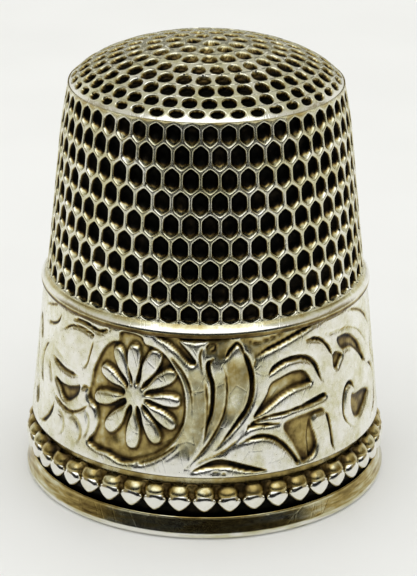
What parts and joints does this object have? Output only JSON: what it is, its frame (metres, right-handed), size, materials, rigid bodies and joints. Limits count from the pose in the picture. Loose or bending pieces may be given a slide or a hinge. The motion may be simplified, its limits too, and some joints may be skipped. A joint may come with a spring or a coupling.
{
  "type": "thimble",
  "caption": "Tapered metal finger thimble with a domed, pitted top, a pitted wall, a relief band and a beaded foot.",
  "frame": {"origin": "centre of the foot's underside, which is the plane that the thimble stands on", "axes": "+Z is the thimble's axis, from the open end up to the domed cap; -Y faces the front of the band, where the leaf bundle is"},
  "size_m": [0.018, 0.018, 0.022],
  "materials": {
    "pitted_silver": "worn polish on the ridges, near-black tarnish in the pits",
    "chased_silver": "scratched soft polish on the raised work, brown tarnish in the ground",
    "beaded_silver": "bright beads with golden-brown tarnish between them",
    "plain_silver": "polished, with fine handling scratches"
  },
  "bodies": {
    "root": {"crown_cap": "pitted_silver", "knurled_sleeve": "pitted_silver", "shoulder_wire": "plain_silver", "scroll_band": "chased_silver", "beaded_wire": "beaded_silver", "foot_ring": "plain_silver"}
  },
  "joints": []
}
